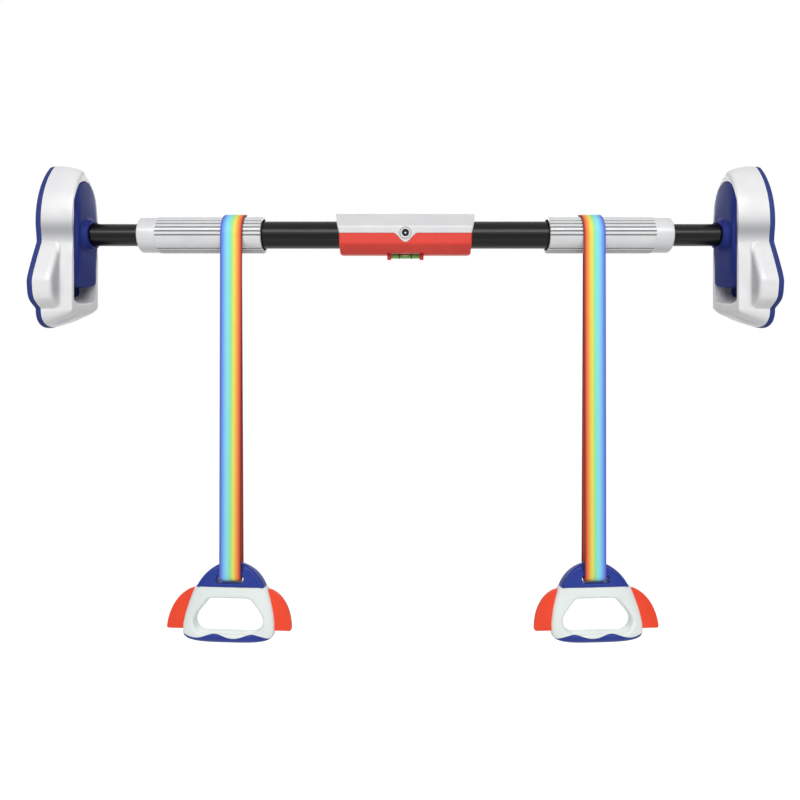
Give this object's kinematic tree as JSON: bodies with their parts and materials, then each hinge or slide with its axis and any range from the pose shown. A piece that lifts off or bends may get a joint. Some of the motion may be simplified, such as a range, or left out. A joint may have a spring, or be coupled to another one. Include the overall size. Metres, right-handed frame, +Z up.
{
  "type": "doorway pull-up bar",
  "caption": "Telescoping bar that clamps across a doorway between padded rocket-shaped feet, with webbing straps and rocket handles hanging from its fluted grips.",
  "frame": {"origin": "on the bar's axis, halfway between the two wall pads", "axes": "+X along the bar from the left pad to the right pad as seen from the front, +Y away from the viewer through the doorway, +Z up"},
  "size_m": [0.826, 0.0898, 0.5507],
  "materials": {
    "pearl_white_plastic": "pearlescent silver-white, semi-gloss",
    "red_plastic": "semi-gloss",
    "royal_blue_plastic": "satin",
    "royal_blue_rubber": "matte",
    "black_gloss_steel": "gloss enamel",
    "zinc_steel": "zinc plated",
    "natural_nylon": "matte",
    "clear_acrylic": "clear",
    "green_level_fluid": "clear",
    "rainbow_webbing": "woven, lengthwise rainbow bands",
    "handle_blue_plastic": "satin",
    "handle_white_plastic": "satin",
    "fin_orange_plastic": "satin"
  },
  "bodies": {
    "bar": {"main_tube_left": "black_gloss_steel", "main_tube_right": "black_gloss_steel", "coupling_sleeve": "zinc_steel", "cover_top": "pearl_white_plastic", "cover_bottom": "red_plastic", "lock_screw_front": "zinc_steel", "lock_screw_back": "zinc_steel", "level_vial": "clear_acrylic", "level_fluid": "green_level_fluid", "left_grip": "pearl_white_plastic", "right_grip": "pearl_white_plastic", "left_drive_nut": "zinc_steel", "right_drive_nut": "zinc_steel"},
    "left_bush": {"left_guide_bush": "natural_nylon"},
    "left_arm": {"left_inner_tube": "black_gloss_steel", "left_screw_plug": "natural_nylon", "left_lead_screw": "zinc_steel", "left_end_plug": "natural_nylon", "left_hub_plate": "royal_blue_plastic", "left_hub_bolt": "zinc_steel"},
    "left_foot": {"left_foot_shell": "pearl_white_plastic", "left_foot_base": "royal_blue_plastic", "left_pad": "royal_blue_rubber", "left_foot_screw_upper": "zinc_steel", "left_foot_screw_lower": "zinc_steel"},
    "left_loop": {"left_strap": "rainbow_webbing"},
    "left_handle": {"left_handle_dome": "handle_blue_plastic", "left_handle_body": "handle_white_plastic", "left_handle_base": "handle_blue_plastic", "left_fin_outer": "fin_orange_plastic", "left_fin_inner": "fin_orange_plastic"},
    "right_bush": {"right_guide_bush": "natural_nylon"},
    "right_arm": {"right_inner_tube": "black_gloss_steel", "right_screw_plug": "natural_nylon", "right_lead_screw": "zinc_steel", "right_end_plug": "natural_nylon", "right_hub_plate": "royal_blue_plastic", "right_hub_bolt": "zinc_steel"},
    "right_foot": {"right_foot_shell": "pearl_white_plastic", "right_foot_base": "royal_blue_plastic", "right_pad": "royal_blue_rubber", "right_foot_screw_upper": "zinc_steel", "right_foot_screw_lower": "zinc_steel"},
    "right_loop": {"right_strap": "rainbow_webbing"},
    "right_handle": {"right_handle_dome": "handle_blue_plastic", "right_handle_body": "handle_white_plastic", "right_handle_base": "handle_blue_plastic", "right_fin_outer": "fin_orange_plastic", "right_fin_inner": "fin_orange_plastic"}
  },
  "joints": [
    {"name": "left_screw_turn", "type": "hinge", "parent": "bar", "child": "left_bush", "pos_m": [-0.2855, 0, 0], "axis": [1, 0, 0], "range_deg": [-3240, 3960]},
    {"name": "left_extend", "type": "slide", "parent": "left_bush", "child": "left_arm", "axis": [-1, 0, 0], "range_m": [-0.04501, 0.05501]},
    {"name": "left_wedge_slide", "type": "slide", "parent": "left_arm", "child": "left_foot", "axis": [-0.0872, 0, 0.9962], "range_m": [0, 0.01]},
    {"name": "left_strap_swing", "type": "hinge", "parent": "bar", "child": "left_loop", "pos_m": [-0.2003, 0, 0], "axis": [1, 0, 0], "range_deg": [-75, 75]},
    {"name": "left_handle_tilt", "type": "hinge", "parent": "left_loop", "child": "left_handle", "pos_m": [-0.2003, 0, -0.3865], "axis": [1, 0, 0], "range_deg": [-8, 22]},
    {"name": "right_screw_turn", "type": "hinge", "parent": "bar", "child": "right_bush", "pos_m": [0.2855, 0, 0], "axis": [1, 0, 0], "range_deg": [-3240, 3960]},
    {"name": "right_extend", "type": "slide", "parent": "right_bush", "child": "right_arm", "axis": [1, 0, 0], "range_m": [-0.04501, 0.05501]},
    {"name": "right_wedge_slide", "type": "slide", "parent": "right_arm", "child": "right_foot", "axis": [0.0872, 0, 0.9962], "range_m": [0, 0.01]},
    {"name": "right_strap_swing", "type": "hinge", "parent": "bar", "child": "right_loop", "pos_m": [0.2172, 0, 0], "axis": [1, 0, 0], "range_deg": [-75, 75]},
    {"name": "right_handle_tilt", "type": "hinge", "parent": "right_loop", "child": "right_handle", "pos_m": [0.2172, 0, -0.3865], "axis": [1, 0, 0], "range_deg": [-8, 22]}
  ],
  "couplings": [
    {"joint": "left_extend", "follows": "left_screw_turn", "m_per_rad": 0.00079577},
    {"joint": "right_extend", "follows": "right_screw_turn", "m_per_rad": 0.00079577}
  ]
}
